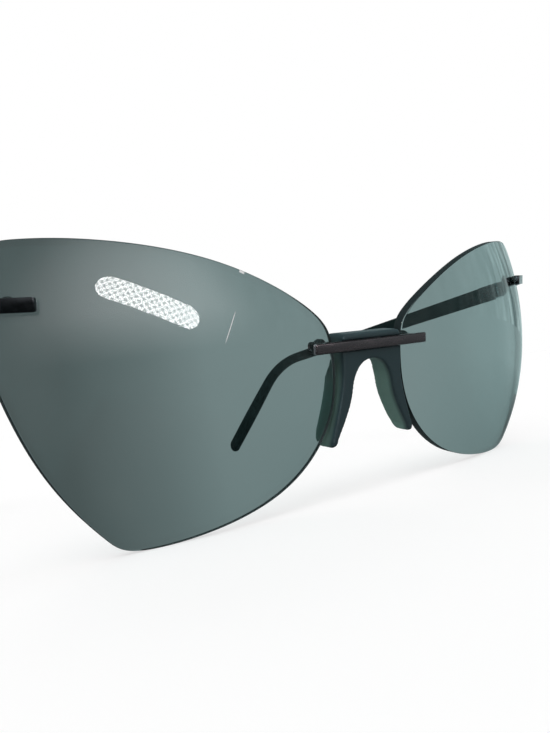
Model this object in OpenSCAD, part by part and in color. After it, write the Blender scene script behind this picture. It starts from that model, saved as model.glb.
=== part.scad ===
// Rimless wrap sunglasses: two drilled lenses, a bridge bar with a moulded
// nose saddle, wrapped endpieces, and temples that fold on screwed hinges.
//
// The drawing frame, called the face frame, has its zero at the middle of
// the bridge bar: X points to the wearer's left, Y to the back of the head
// and Z up. Left and right are the wearer's own. Each left piece is drawn
// once and mirrored for the right. The whole is then leaned forward until
// the lower rims and the temple tips stand on one table, with the zero of
// the part on that table under the middle of its box.

/* [Lenses] */
// Width of one lens, seen from the front
lens_w = 57.5; // [55:0.5:60]
// Height of one lens
lens_h = 49.4; // [47:0.2:52]
// Thickness of the lens material
lens_t = 2; // [1.6:0.1:2.4]
// Radius of the front surface of a lens
lens_radius = 83.4; // [80:0.2:90]
// Gap between the two lenses at the bridge
bridge_gap = 16.9; // [16.5:0.1:18]
// Turn of each lens round the face, in degrees
wrap_angle = 10.1; // [8:0.1:12]
// Lean of each lens toward the cheek, in degrees
lean_angle = 2.4; // [1:0.2:4]
// Height of the bridge bar above the middle of a lens
bar_rise = 4.8; // [4:0.1:6]

/* [Lens mounts] */
// Distance of the bridge stud from the inner side of a lens
bridge_stud_inset = 2.35; // [2.3:0.05:3.2]
// Distance of the end stud from the outer side of a lens
end_stud_inset = 4.2; // [3.8:0.1:5]
// Height of the end stud above the bridge bar
end_stud_rise = 10.2; // [9:0.1:11]
// Diameter of the hole drilled through a lens
lens_hole_d = 1.7; // [1.6:0.05:1.9]
// Diameter of a stud
stud_d = 1; // [0.8:0.05:1.1]
// Diameter of the bush flange in front of a lens
flange_d = 2; // [1.95:0.05:2.6]
// Thickness of the bush flange at the bridge stud
flange_t = 0.6; // [0.5:0.05:0.8]
// Thickness of the bush flange at the end stud
end_flange_t = 0.4; // [0.35:0.05:0.6]
// Diameter of the washer behind a lens
washer_d = 2.8; // [2.6:0.1:3.4]
// Thickness of the washer at the stud
washer_t = 0.5; // [0.4:0.05:0.8]
// Diameter of a bridge nut
bridge_nut_d = 1.6; // [1.6:0.1:2.2]
// Length of a bridge nut
bridge_nut_l = 2.1; // [1.8:0.1:3]
// Diameter of the low nut behind an end stud
end_nut_d = 2.3; // [2.2:0.1:2.8]
// Length of an end nut
end_nut_l = 1.4; // [0.8:0.05:1.8]

/* [Bridge bar] */
// Height of the bar
bar_h = 2; // [1.6:0.1:2.2]
// Thickness of the bar, front to back
bar_t = 1; // [0.9:0.1:1.4]
// Length of the bar beyond each stud
bar_overhang = 3.4; // [2.8:0.1:3.8]
// Rounding of the bar's long edges
bar_round = 0.4; // [0.1:0.05:0.4]
// Rounding of the bar's ends, seen from above
bar_end_round = 0.45; // [0.1:0.05:0.45]

/* [Nose saddle] */
// Half width of the saddle at the bar
saddle_half_w = 7.3; // [6.8:0.1:7.6]
// Height of the saddle above the middle of the bar
saddle_rise = 2.2; // [1.8:0.1:3]
// How far the bar stands out of its groove in the saddle
bar_proud = 0.6; // [0.5:0.05:0.8]
// Depth of the saddle at the bar
saddle_depth = 4.6; // [4.5:0.1:5.2]
// Depth of the nose pads, front to back
pad_depth = 6; // [5.6:0.1:7]
// Length of the pads below the middle of the bar
pad_drop = 18.5; // [18:0.1:21]
// Half width of the saddle at the foot of the pads
pad_half_w = 10.3; // [10:0.1:11.2]
// Thickness of a pad at its foot, seen from the front
pad_t = 1.3; // [1.2:0.1:2.4]
// Height of the nose arch below the middle of the bar
arch_drop = 2.8; // [2.4:0.1:3.6]
// Half width of the nose arch at its shoulders
arch_half_w = 5.1; // [4.8:0.1:5.6]
// Outward turn of the inner faces of the pads, in degrees
pad_flare = 8; // [6:0.5:10]
// Outward turn of the outer faces of the saddle, in degrees
outer_flare = 6; // [4:0.5:9]
// Rounding of the upper edges of the saddle, seen from the side
saddle_round = 0.6; // [0.3:0.1:1]
// Rounding of the heel of the pads, seen from the side
heel_round = 3; // [2:0.1:3.2]

/* [Saddle strap] */
// Thickness of the strap that carries the saddle
strap_t = 0.5; // [0.4:0.05:0.6]
// Height of the strap
strap_h = 1.4; // [1.2:0.1:1.8]
// Diameter of the eye at each end of the strap
strap_eye_d = 2.8; // [2.4:0.1:3.2]

/* [Endpieces] */
// Height of the endpiece bar
end_bar_h = 2.2; // [2:0.1:2.6]
// Thickness of the endpiece bar
end_bar_t = 1.2; // [1.1:0.05:1.4]
// Length of the endpiece bar on the inner side of its stud
end_bar_tail = 4.8; // [4:0.1:5]
// Rounding of the endpiece bar's corners
end_bar_round = 0.5; // [0.2:0.05:0.5]
// Thickness of the leg that runs back to the hinge
leg_t = 1.2; // [1:0.1:1.4]
// Gap between the leg and the outer rim of a lens
rim_gap = 0.3; // [0.25:0.05:0.8]
// Radius of the bend between bar and leg, at its middle
wrap_bend_r = 1.8; // [1.4:0.1:2.2]
// Distance from the bend corner back to the hinge pin
leg_length = 6.6; // [6.3:0.1:7.5]

/* [Hinges] */
// Diameter of the knuckles
knuckle_d = 2.6; // [2.4:0.1:2.8]
// Height of one knuckle
knuckle_h = 1.1; // [1:0.05:1.3]
// Thickness of a washer between the knuckles
hinge_washer_t = 0.15; // [0.1:0.01:0.2]
// Diameter of the hinge screw's shank
screw_d = 1.2; // [1:0.1:1.3]
// Diameter of the hinge screw's head
screw_head_d = 1.9; // [1.6:0.1:2]
// Height of the hinge screw's head
screw_head_h = 0.45; // [0.3:0.05:0.6]
// How far the leg's middle lies above the middle of the hinge
leg_above_hinge = 0.85; // [0.7:0.05:1]
// How far the pin lies inward of the middle of the leg and the arm
pin_inset = 0.4; // [0.2:0.05:0.6]

/* [Temples] */
// Length of a temple from its hinge pin, measured along it
temple_length = 141; // [135:0.5:150]
// Distance from the hinge pin to the corner of the ear bend
bend_distance = 92.9; // [88:0.1:97]
// Drop of the tip behind the ear, in degrees
tip_drop = 36; // [30:1:42]
// Radius of the ear bend
bend_radius = 34; // [24:1:38]
// Slope of the straight arm below the bridge level, in degrees
arm_slope = 16; // [14:0.5:17]
// Inward turn of the arm, in degrees
arm_inward = 5.7; // [5:0.1:7]
// Height of the arm at the hinge
arm_h = 4.2; // [3.8:0.1:4.4]
// Thickness of the arm
arm_t = 1.3; // [1.2:0.1:1.6]
// Height of the temple at the ear bend
neck_h = 3.3; // [2.8:0.1:3.6]
// Height of the tip near its end
tip_h = 5; // [4.8:0.1:6.2]
// Thickness of the tip
tip_t = 2.3; // [2:0.1:2.6]
// Length of the sleeve that covers the tip
sleeve_length = 68; // [66:1:76]
// Length of the bare metal hinge leaf behind the pin
leaf_length = 5.6; // [5:0.1:6.5]
// Length of the tang that the arm holds
tang_length = 6; // [5:0.1:7]
// Thickness of the tang
tang_t = 0.5; // [0.4:0.05:0.6]
// Height of the tang
tang_h = 2; // [1.6:0.1:2.4]
// Diameter of the rivet through arm and tang
rivet_d = 1; // [0.8:0.1:1.2]
// Thickness of the metal core inside the sleeve
core_t = 0.8; // [0.7:0.05:0.9]
// Height of the metal core inside the sleeve
core_h = 1.6; // [1.2:0.1:1.8]

/* [Clearances] */
// Gap between pieces that are clamped face to face
seat_gap = 0.03; // [0.02:0.01:0.05]
// Gap round a piece in its hole or slot
slip_gap = 0.05; // [0.04:0.01:0.08]
// Gap between a fixed and a moving piece of the hinge
swing_gap = 0.15; // [0.1:0.01:0.25]

/* [Hidden] */

// Smoothness of small round parts, of the lens spheres and of the sweeps
round_fn = 48;
sphere_fn = 360;
curve_steps = 10;
section_sides = 20;
cut = 1;

// Lens outline: corners of the net that a closed cubic spline follows, in
// percent of the lens width from its inner side and of its height from below
lens_net = [
    [103, 85], [96, 99], [89, 100], [71, 100], [36, 93], [2, 71],
    [0, 61], [-1, 34], [20, 6], [68, -2], [73, 4], [92, 31]
];

// Point at t on one span of a uniform cubic spline with corners a, b, c, d
function spline_point(a, b, c, d, t) = (
    pow(1 - t, 3) * a
    + (3 * pow(t, 3) - 6 * t * t + 4) * b
    + (-3 * pow(t, 3) + 3 * t * t + 3 * t + 1) * c
    + pow(t, 3) * d
) / 6;

function closed_spline(net, steps) = [
    for (i = [0 : len(net) - 1])
        for (j = [0 : steps - 1])
            spline_point(
                net[i], net[(i + 1) % len(net)],
                net[(i + 2) % len(net)], net[(i + 3) % len(net)], j / steps
            )
];

// Point at t on a Bezier curve with end points a, d and handles b, c
function bezier_point(a, b, c, d, t) =
    pow(1 - t, 3) * a + 3 * pow(1 - t, 2) * t * b
    + 3 * (1 - t) * t * t * c + pow(t, 3) * d;

function bezier(a, b, c, d, steps) = [
    for (j = [0 : steps]) bezier_point(a, b, c, d, j / steps)
];

function column(points, i) = [for (p = points) p[i]];

// Rectangle with rounded corners, centred on zero
function rounded_rect(w, h, r, steps = 6) = [
    for (q = [0 : 3])
        let (sx = (q == 0 || q == 3) ? 1 : -1, sz = q < 2 ? 1 : -1)
            for (j = [0 : steps])
                [sx * (w / 2 - r), sz * (h / 2 - r)]
                + r * [cos(90 * (q + j / steps)), sin(90 * (q + j / steps))]
];

// Lens outline in the face frame, as [x, z] points stretched to its exact size
outer_x = bridge_gap / 2 + lens_w;
lens_mid = [bridge_gap / 2 + lens_w / 2, 0, -bar_rise];
raw_outline = closed_spline(lens_net, curve_steps);
raw_low = [min(column(raw_outline, 0)), min(column(raw_outline, 1))];
raw_high = [max(column(raw_outline, 0)), max(column(raw_outline, 1))];
lens_outline = [
    for (p = raw_outline) [
        bridge_gap / 2 + lens_w * (p[0] - raw_low[0]) / (raw_high[0] - raw_low[0]),
        lens_mid[2] - lens_h / 2
            + lens_h * (p[1] - raw_low[1]) / (raw_high[1] - raw_low[1])
    ]
];

// Middle of the sphere that the left lens is cut from, and its two surfaces
sphere_mid = lens_mid + lens_radius * [
    -sin(wrap_angle) * cos(lean_angle),
    cos(wrap_angle) * cos(lean_angle),
    -sin(lean_angle)
];
function lens_y(x, z, radius) =
    sphere_mid[1] - sqrt(
        pow(radius, 2) - pow(x - sphere_mid[0], 2) - pow(z - sphere_mid[2], 2)
    );
function front_y(x, z) = lens_y(x, z, lens_radius);
function back_y(x, z) = lens_y(x, z, lens_radius - lens_t);

// Bridge stack, from the front of the bar back to the end of the nut
bridge_stud = [bridge_gap / 2 + bridge_stud_inset, 0, 0];
bridge_stud_y = front_y(bridge_stud[0], 0);
bar_back = bridge_stud_y - flange_t - seat_gap;
bar_front = bar_back - bar_t;
strap_front = back_y(bridge_stud[0], 0) + washer_t + seat_gap;
strap_back = strap_front + strap_t;
bridge_nut_front = strap_back + seat_gap;
stud_fit_d = stud_d + 2 * slip_gap;
nut_roof = 0.35;

// End stud: its place on the lens and the turn of the lens there
end_x = outer_x - end_stud_inset;
end_stud = [end_x, front_y(end_x, end_stud_rise), end_stud_rise];
end_yaw = atan2(end_x - sphere_mid[0], sphere_mid[1] - end_stud[1]);
end_back = lens_t / cos(asin((end_stud_rise - sphere_mid[2]) / lens_radius));
end_bar_mid = -end_flange_t - seat_gap - end_bar_t / 2;
end_stud_tip = end_back + end_nut_l - nut_roof - 2 * slip_gap;

// Bend corner: far enough out for the leg to pass the rim of the lens there
rim_back_y = max([for (p = lens_outline) back_y(p[0], p[1])]);
rim_x = max([
    for (p = lens_outline) if (abs(p[1] - end_stud_rise) < 2 * end_bar_h) p[0]
]);
corner_x = rim_x + rim_gap + leg_t / 2
    + (rim_back_y - end_stud[1]) * tan(arm_inward);
corner_reach = (corner_x - end_stud[0] + end_bar_mid * sin(end_yaw)) / cos(end_yaw);
bend_turn = 90 + arm_inward - end_yaw;
bend_tangent = wrap_bend_r * tan(bend_turn / 2);

function turn_z(v, a) = [
    v[0] * cos(a) - v[1] * sin(a), v[0] * sin(a) + v[1] * cos(a), v[2]
];
function turn_x(v, a) = [
    v[0], v[1] * cos(a) - v[2] * sin(a), v[1] * sin(a) + v[2] * cos(a)
];
// A point of the temple frame, which has its zero at the middle of the hinge,
// Y along the straight arm and Z along the pin, turned into the face frame
function from_temple(v) = turn_x(turn_z(v, arm_inward), -arm_slope);

corner = end_stud + turn_z([corner_reach, end_bar_mid, 0], end_yaw);
hinge = corner + from_temple([-pin_inset, leg_length, -leg_above_hinge]);

// Hinge stack along the pin
washer_space = hinge_washer_t + 2 * seat_gap;
leaf_knuckle_low = -knuckle_h / 2;
upper_knuckle_low = knuckle_h / 2 + washer_space;
knuckle_top = upper_knuckle_low + knuckle_h;
knuckle_r = knuckle_d / 2;
pin_bore_d = screw_d + 2 * slip_gap;

// Centre line of a temple in its own frame, at the distance s from the pin
bend_start = bend_distance - bend_radius * tan(tip_drop / 2);
bend_arc = bend_radius * tip_drop * PI / 180;
bend_end = bend_start + bend_arc;
function path_angle(s) =
    s < bend_start ? 0 : min(tip_drop, (s - bend_start) / bend_radius * 180 / PI);
function path_point(s) =
    let (
        a = path_angle(s),
        run = max(0, s - bend_end)
    ) [
        min(s, bend_start) + bend_radius * sin(a) + run * cos(tip_drop),
        -bend_radius * (1 - cos(a)) - run * sin(tip_drop)
    ];

function ease(t) = let (u = max(0, min(1, t))) u * u * (3 - 2 * u);
sleeve_start = temple_length - sleeve_length;
function temple_h(s) =
    s < bend_start
        ? arm_h + (neck_h - arm_h) * s / bend_start
        : neck_h + (tip_h - neck_h) * ease((s - bend_start) / (temple_length - bend_start) * 1.35);
function sleeve_thick(s) =
    arm_t + 0.4 + (tip_t - arm_t - 0.4) * ease((s - sleeve_start) / (bend_start - sleeve_start));

// One ring of a sweep along the temple: a box section with rounded edges
function squared(v) = sign(v) * pow(abs(v), 0.6);
function ring(s, thick, high) =
    let (p = path_point(s), a = path_angle(s)) [
        for (i = [0 : section_sides - 1])
            let (
                x = thick / 2 * squared(cos(360 * i / section_sides)),
                n = high / 2 * squared(sin(360 * i / section_sides))
            )
                [pin_inset + x, p[0] + n * sin(a), p[1] + n * cos(a)]
    ];

// Stations of the sleeve: its length, then the round end of the tip
end_r = tip_h / 2;
sleeve_run = temple_length - end_r - sleeve_start;
sleeve_stations = concat(
    [for (i = [0 : 14]) let (s = sleeve_start + sleeve_run * i / 14)
        [s, sleeve_thick(s), temple_h(s)]],
    [for (a = [18 : 18 : 72]) [
        temple_length - end_r + end_r * sin(a), tip_t * sqrt(cos(a)), tip_h * cos(a)
    ]],
    [[temple_length, tip_t * 0.35, tip_h * 0.12]]
);
core_end = temple_length - 3 * end_r;
function core_stations(from, to, grow) = [
    for (i = [0 : 12]) let (s = from + (to - from) * i / 12)
        [s, core_t + 2 * grow, core_h + 2 * grow]
];

// Lean of the face frame at which the lens rims and the tips touch one table
tip_round = path_point(temple_length - end_r);
tip_mid = hinge + from_temple([pin_inset, tip_round[0], tip_round[1]]);
rim_points = [for (p = lens_outline) [p[0], front_y(p[0], p[1]), p[1]]];
function rim_low(lean) = min([for (p = rim_points) turn_x(p, lean)[2]]);
function tip_low(lean) = turn_x(tip_mid, lean)[2] - end_r;
function find_lean(low, high, steps) =
    let (mid = (low + high) / 2)
        steps == 0 ? mid
        : tip_low(mid) < rim_low(mid) ? find_lean(mid, high, steps - 1)
        : find_lean(low, mid, steps - 1);
face_lean = find_lean(0, 30, 24);
table_z = rim_low(face_lean);
front_edge = turn_x([0, bar_front, bar_h / 2 - bar_round], face_lean)[1]
    - bar_round * (1 - cos(face_lean)) ;
tip_reach = turn_x(tip_mid, face_lean)[1] + end_r;

// Places what is drawn in the face frame on the table
module on_table() {
    translate([0, -(front_edge + tip_reach) / 2, -table_z])
        rotate([face_lean, 0, 0])
            children();
}

// Draws its children on the wearer's left, or mirrored on the right
module on_side(left) {
    if (left) children();
    else mirror([1, 0, 0]) children();
}

module both_sides() {
    on_side(true) children();
    on_side(false) children();
}

// Frame of the bridge stud: Y runs back along the stud
module at_bridge_stud() {
    translate([bridge_stud[0], 0, 0])
        children();
}

// Frame of the end stud: X runs outward along the lens, Y back along the stud
module at_end_stud() {
    translate(end_stud)
        rotate([0, 0, end_yaw])
            children();
}

// Frame of a temple: Y along the arm, Z up along the hinge pin
module at_hinge() {
    translate(hinge)
        rotate([-arm_slope, 0, 0])
            rotate([0, 0, arm_inward])
                children();
}

// Rod along Y between two distances
module rod(d, from, to) {
    translate([0, from, 0])
        rotate([-90, 0, 0])
            cylinder(d = d, h = to - from, $fn = round_fn);
}

module ring_rod(d, bore, from, to) {
    difference() {
        rod(d, from, to);
        rod(bore, from - cut, to + cut);
    }
}

// Plate drawn as [x, z] points, between two places along Y
module plate_y(points, from, to) {
    translate([0, to, 0])
        rotate([90, 0, 0])
            linear_extrude(height = to - from)
                polygon(points);
}

// Plate drawn as [y, z] points, between two places along X
module plate_x(points, from, to) {
    translate([from, 0, 0])
        rotate([90, 0, 90])
            linear_extrude(height = to - from)
                polygon(points);
}

// Plate drawn as [x, y] points, between two places along Z
module plate_z(points, from, to) {
    translate([0, 0, from])
        linear_extrude(height = to - from)
            polygon(points);
}

module lens_ball(radius) {
    translate(sphere_mid)
        sphere(r = radius, $fn = sphere_fn);
}

module lens() {
    difference() {
        intersection() {
            plate_y(lens_outline, -3 * lens_t, rim_back_y + lens_t);
            difference() {
                lens_ball(lens_radius);
                lens_ball(lens_radius - lens_t);
            }
        }
        at_bridge_stud() rod(lens_hole_d, -2 * lens_t, 4 * lens_t);
        at_end_stud() rod(lens_hole_d, -2 * lens_t, 4 * lens_t);
    }
}

// Block on the front or the back side of the plane that touches a lens
// surface at the place x, z; it cuts a clamped piece to the slope of the lens
module seat_block(x, z, radius, back) {
    side = 8;
    out = ([x, lens_y(x, z, radius), z] - sphere_mid) / radius;
    translate([x, lens_y(x, z, radius), z])
        rotate([-asin(out[2]), 0, atan2(out[0], -out[1])])
            translate([0, (back ? 1 : -1) * (side / 2 + seat_gap), 0])
                cube(side, center = true);
}

// Bush of one stud: a flange cut to the slope of the lens and a sleeve that
// ends inside the lens hole
module bush_flange(from) {
    ring_rod(flange_d, stud_fit_d, from, from + 2 * flange_t);
}

module bush_sleeve(from, to) {
    slope = lens_hole_d / 2 * tan(asin((end_stud_rise - sphere_mid[2]) / lens_radius));
    ring_rod(lens_hole_d - 2 * slip_gap, stud_fit_d, from, to - slope - slip_gap);
}

module bridge_bush() {
    from = bar_back + seat_gap;
    intersection() {
        at_bridge_stud() bush_flange(from);
        seat_block(bridge_stud[0], 0, lens_radius, false);
    }
    at_bridge_stud() bush_sleeve(from, back_y(bridge_stud[0], 0));
}

module end_bush() {
    intersection() {
        at_end_stud() bush_flange(-end_flange_t);
        seat_block(end_stud[0], end_stud_rise, lens_radius, false);
    }
    at_end_stud() bush_sleeve(-end_flange_t, end_back);
}

// Washers behind the lenses, cut to the slope of the back surface
module bridge_washer() {
    back = back_y(bridge_stud[0], 0);
    intersection() {
        at_bridge_stud()
            ring_rod(washer_d, stud_fit_d, back - washer_t, strap_front - seat_gap);
        seat_block(bridge_stud[0], 0, lens_radius - lens_t, true);
    }
}

// Round nut with a domed end and two flats for a wrench
module nut(d, from, length) {
    flat = d * 0.42;
    difference() {
        intersection() {
            rod(d, from, from + length);
            translate([0, from + length - d, 0])
                sphere(r = d, $fn = round_fn);
        }
        rod(stud_fit_d, from - cut, from + length - nut_roof);
        for (s = [-1, 1])
            translate([s * (flat + cut / 2), from + length, 0])
                cube([cut, length, 2 * d], center = true);
    }
}

module bridge_nut() {
    at_bridge_stud() nut(bridge_nut_d, bridge_nut_front, bridge_nut_l);
}

// Low nut, its front cut to the slope of the back of the lens
module end_nut() {
    behind = end_stud + turn_z([0, end_back, 0], end_yaw);
    intersection() {
        at_end_stud() nut(end_nut_d, end_back - end_nut_l, 2 * end_nut_l);
        seat_block(behind[0], end_stud_rise, lens_radius - lens_t, true);
    }
}

module bridge_bar() {
    half_l = bridge_stud[0] + bar_overhang;
    color([0.24, 0.22, 0.22])
        union() {
            intersection() {
                plate_y(rounded_rect(2 * half_l, bar_h, bar_h * 0.3), bar_front, bar_back);
                translate([0, bar_front + bar_t / 2, 0])
                    plate_x(rounded_rect(bar_t, bar_h, bar_round), -half_l, half_l);
                translate([0, bar_front + bar_t / 2, 0])
                    plate_z(rounded_rect(2 * half_l, bar_t, bar_end_round), -bar_h, bar_h);
            }
            both_sides()
                at_bridge_stud()
                    rod(
                        stud_d, bar_back - bar_t / 2,
                        bridge_nut_front + bridge_nut_l - nut_roof - 2 * slip_gap
                    );
        }
}

// Saddle seen from the front: outer outline and the arch over the nose
module saddle_front() {
    shoulder = -5.2;
    foot = -pad_drop + 1.4;
    corner_r = 1;
    outer = concat(
        bezier(
            [saddle_half_w - corner_r, saddle_rise], [saddle_half_w - 0.4, saddle_rise],
            [saddle_half_w, saddle_rise - 0.4], [saddle_half_w, saddle_rise - corner_r], 5
        ),
        bezier(
            [saddle_half_w, shoulder], [saddle_half_w + 0.1, shoulder - 3.5],
            [pad_half_w - 1.3, foot + 4.2], [pad_half_w, foot], curve_steps
        ),
        bezier(
            [pad_half_w, foot], [pad_half_w + 0.5, -pad_drop - 0.4],
            [pad_half_w - pad_t + 0.4, -pad_drop - 0.4], [pad_half_w - pad_t, foot], 8
        )
    );
    polygon(concat(outer, [for (i = [len(outer) - 1 : -1 : 0]) [-outer[i][0], outer[i][1]]]));
}

module arch_front() {
    shoulder = -5.5 - arch_drop;
    foot = -pad_drop + 1.4;
    arch = concat(
        bezier(
            [0, -arch_drop], [arch_half_w * 0.54, -arch_drop],
            [arch_half_w - 0.5, -arch_drop - 2], [arch_half_w, shoulder], curve_steps
        ),
        bezier(
            [arch_half_w, shoulder], [arch_half_w + 0.4, shoulder - 2.8],
            [pad_half_w - pad_t - 1.6, foot + 2.8], [pad_half_w - pad_t, foot], curve_steps
        ),
        [[pad_half_w - pad_t, -pad_drop - 2]]
    );
    polygon(concat(arch, [for (i = [len(arch) - 1 : -1 : 0]) [-arch[i][0], arch[i][1]]]));
}

// Saddle seen from the side: thin at the bar, deep at the pads
module saddle_side(front) {
    top_back = front + saddle_depth;
    back = front + pad_depth;
    top = saddle_rise + seat_gap;
    toe_r = 0.9;
    polygon(concat(
        bezier(
            [front, top - saddle_round], [front, top - saddle_round * 0.4],
            [front + saddle_round * 0.4, top], [front + saddle_round, top], 5
        ),
        bezier(
            [top_back - saddle_round, top], [top_back - saddle_round * 0.4, top],
            [top_back, top - saddle_round * 0.4], [top_back, top - saddle_round], 5
        ),
        bezier(
            [top_back, -2.4], [top_back, -4.2], [back, -4.8], [back, -6.6], 8
        ),
        bezier(
            [back, heel_round - pad_drop], [back, heel_round * 0.4 - pad_drop],
            [back - heel_round * 0.4, -pad_drop], [back - heel_round, -pad_drop], 8
        ),
        bezier(
            [front + toe_r, 0.1 - pad_drop], [front + toe_r * 0.4, 0.1 - pad_drop],
            [front, 0.6 - pad_drop], [front, toe_r + 0.1 - pad_drop], 6
        )
    ));
}

module nose_saddle() {
    front = bar_front + bar_proud;
    color([0.20, 0.28, 0.27])
        difference() {
            intersection() {
                for (turn = [-outer_flare, outer_flare])
                    translate([0, front, 0])
                        rotate([0, 0, turn])
                            translate([0, pad_depth + 2 * cut, 0])
                                rotate([90, 0, 0])
                                    linear_extrude(height = pad_depth + 4 * cut)
                                        saddle_front();
                translate([-pad_half_w - 3 * cut, 0, 0])
                    rotate([90, 0, 90])
                        linear_extrude(height = 2 * (pad_half_w + 3 * cut))
                            saddle_side(front);
            }
            both_sides()
                translate([0, front, 0])
                    rotate([0, 0, -pad_flare])
                        translate([0, 2 * pad_depth, 0])
                            rotate([90, 0, 0])
                                linear_extrude(height = 3 * pad_depth)
                                    arch_front();
            plate_y(
                rounded_rect(6 * saddle_half_w, bar_h + 2 * slip_gap, bar_round),
                front - cut, bar_back + slip_gap
            );
            translate([0, strap_front + strap_t / 2, 0])
                cube([
                    4 * saddle_half_w, strap_t + 2 * slip_gap, strap_h + 2 * slip_gap
                ], center = true);
        }
}

// Flat strap behind the lenses: it carries the saddle between the two studs
module saddle_strap() {
    color([0.45, 0.46, 0.47])
        difference() {
            union() {
                translate([0, strap_front + strap_t / 2, 0])
                    cube([2 * bridge_stud[0], strap_t, strap_h], center = true);
                both_sides()
                    at_bridge_stud()
                        rod(strap_eye_d, strap_front, strap_back);
            }
            both_sides()
                at_bridge_stud()
                    rod(stud_fit_d, strap_front - cut, strap_back + cut);
        }
}

// Side view of the leg in the temple frame: it deepens to carry both knuckles
module leg_side() {
    front = bend_tangent - leg_length;
    low = leg_above_hinge - end_bar_h / 2;
    high = leg_above_hinge + end_bar_h / 2;
    polygon(concat(
        [[front - 0.5, low], [front - 0.5, high], [-knuckle_d, high]],
        bezier(
            [-knuckle_d, high], [-knuckle_d + 1, high],
            [-knuckle_r, knuckle_top], [0, knuckle_top], 6
        ),
        [[0, -knuckle_top]],
        bezier(
            [-0.2, -knuckle_top], [-1.6, -knuckle_top],
            [front + 2.4, low - 0.2], [front, low], 8
        )
    ));
}

module endpiece() {
    from = -end_bar_tail;
    to = corner_reach - bend_tangent;
    inner = pin_inset - leg_t / 2;
    union() {
        at_end_stud() {
            intersection() {
                translate([(from + to) / 2, 0, 0])
                    plate_y(
                        rounded_rect(to - from, end_bar_h, end_bar_round),
                        end_bar_mid - end_bar_t / 2, end_bar_mid + end_bar_t / 2
                    );
                translate([(from + to) / 2, end_bar_mid, 0])
                    plate_z(
                        rounded_rect(to - from, end_bar_t, end_bar_round),
                        -end_bar_h, end_bar_h
                    );
            }
            translate([to - end_bar_round, end_bar_mid - end_bar_t / 2, -end_bar_h / 2])
                cube([end_bar_round, end_bar_t, end_bar_h]);
            rod(stud_d, end_bar_mid, end_stud_tip);
            translate([to, end_bar_mid + wrap_bend_r, -end_bar_h / 2])
                rotate([0, 0, -90])
                    rotate_extrude(angle = bend_turn, $fn = 2 * round_fn)
                        translate([wrap_bend_r - leg_t / 2, 0])
                            square([leg_t, end_bar_h]);
        }
        at_hinge() {
            difference() {
                union() {
                    translate([inner, 0, 0])
                        rotate([90, 0, 90])
                            linear_extrude(height = leg_t)
                                leg_side();
                    translate([0, 0, -knuckle_top])
                        cylinder(d = knuckle_d, h = 2 * knuckle_top, $fn = round_fn);
                }
                translate([0, 0, -upper_knuckle_low])
                    cylinder(
                        d = knuckle_d + 2 * swing_gap, h = 2 * upper_knuckle_low,
                        $fn = round_fn
                    );
                translate([0, 0, -2 * knuckle_top])
                    cylinder(d = pin_bore_d, h = 4 * knuckle_top, $fn = round_fn);
                translate([0, 0, knuckle_top - screw_head_h])
                    cylinder(d = screw_head_d + 2 * slip_gap, h = cut, $fn = round_fn);
            }
        }
    }
}

module hinge_screw() {
    slot = 0.25;
    difference() {
        union() {
            translate([0, 0, -knuckle_top])
                cylinder(d = screw_d, h = 2 * knuckle_top - seat_gap, $fn = round_fn);
            translate([0, 0, knuckle_top - screw_head_h + seat_gap])
                cylinder(d = screw_head_d, h = screw_head_h - seat_gap, $fn = round_fn);
        }
        translate([0, 0, knuckle_top])
            cube([2 * screw_head_d, slot, slot], center = true);
    }
}

module hinge_washer(low) {
    difference() {
        translate([0, 0, low])
            cylinder(d = knuckle_d - slip_gap, h = hinge_washer_t, $fn = round_fn);
        translate([0, 0, low - cut])
            cylinder(d = pin_bore_d, h = 2 * cut + hinge_washer_t, $fn = round_fn);
    }
}

// Leaf: the middle knuckle, the bare metal plate behind it and the tang
module hinge_leaf() {
    plate_from = knuckle_r + swing_gap;
    inner = pin_inset - leg_t / 2;
    half = arm_h / 2;
    difference() {
        union() {
            translate([0, 0, leaf_knuckle_low])
                cylinder(d = knuckle_d, h = knuckle_h, $fn = round_fn);
            translate([inner, 0, leaf_knuckle_low])
                cube([leg_t, plate_from + 0.1, knuckle_h]);
            translate([0, (plate_from + leaf_length) / 2, 0])
                plate_x(
                    rounded_rect(leaf_length - plate_from, arm_h, 0.35),
                    inner, inner + leg_t
                );
            translate([pin_inset - leg_t / 2, leaf_length - half, -half])
                cube([leg_t, half, arm_h]);
            translate([pin_inset - tang_t / 2, leaf_length - cut, -tang_h / 2])
                cube([tang_t, tang_length + cut, tang_h]);
        }
        translate([0, 0, -knuckle_top])
            cylinder(d = pin_bore_d, h = 2 * knuckle_top, $fn = round_fn);
        rivet_rod(rivet_d + 2 * slip_gap, leg_t);
    }
}

// Rod across the temple at the rivet, of a diameter and half length
module rivet_rod(d, reach) {
    translate([pin_inset - reach, leaf_length + tang_length / 2, 0])
        rotate([0, 90, 0])
            cylinder(d = d, h = 2 * reach, $fn = round_fn);
}

module hinge_rivet() {
    rivet_rod(rivet_d, arm_t / 2 + 0.1);
}

// Skin over a row of rings, closed at both ends
module sweep(stations) {
    rings = [for (s = stations) ring(s[0], s[1], s[2])];
    count = len(rings);
    n = section_sides;
    points = [for (r = rings) each r];
    sides = [
        for (i = [0 : count - 2]) for (j = [0 : n - 1])
            let (a = i * n + j, b = i * n + (j + 1) % n)
                each [[a, b, b + n], [a, b + n, a + n]]
    ];
    ends = [[for (j = [n - 1 : -1 : 0]) j], [for (j = [0 : n - 1]) (count - 1) * n + j]];
    polyhedron(points = points, faces = concat(sides, ends));
}

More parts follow.
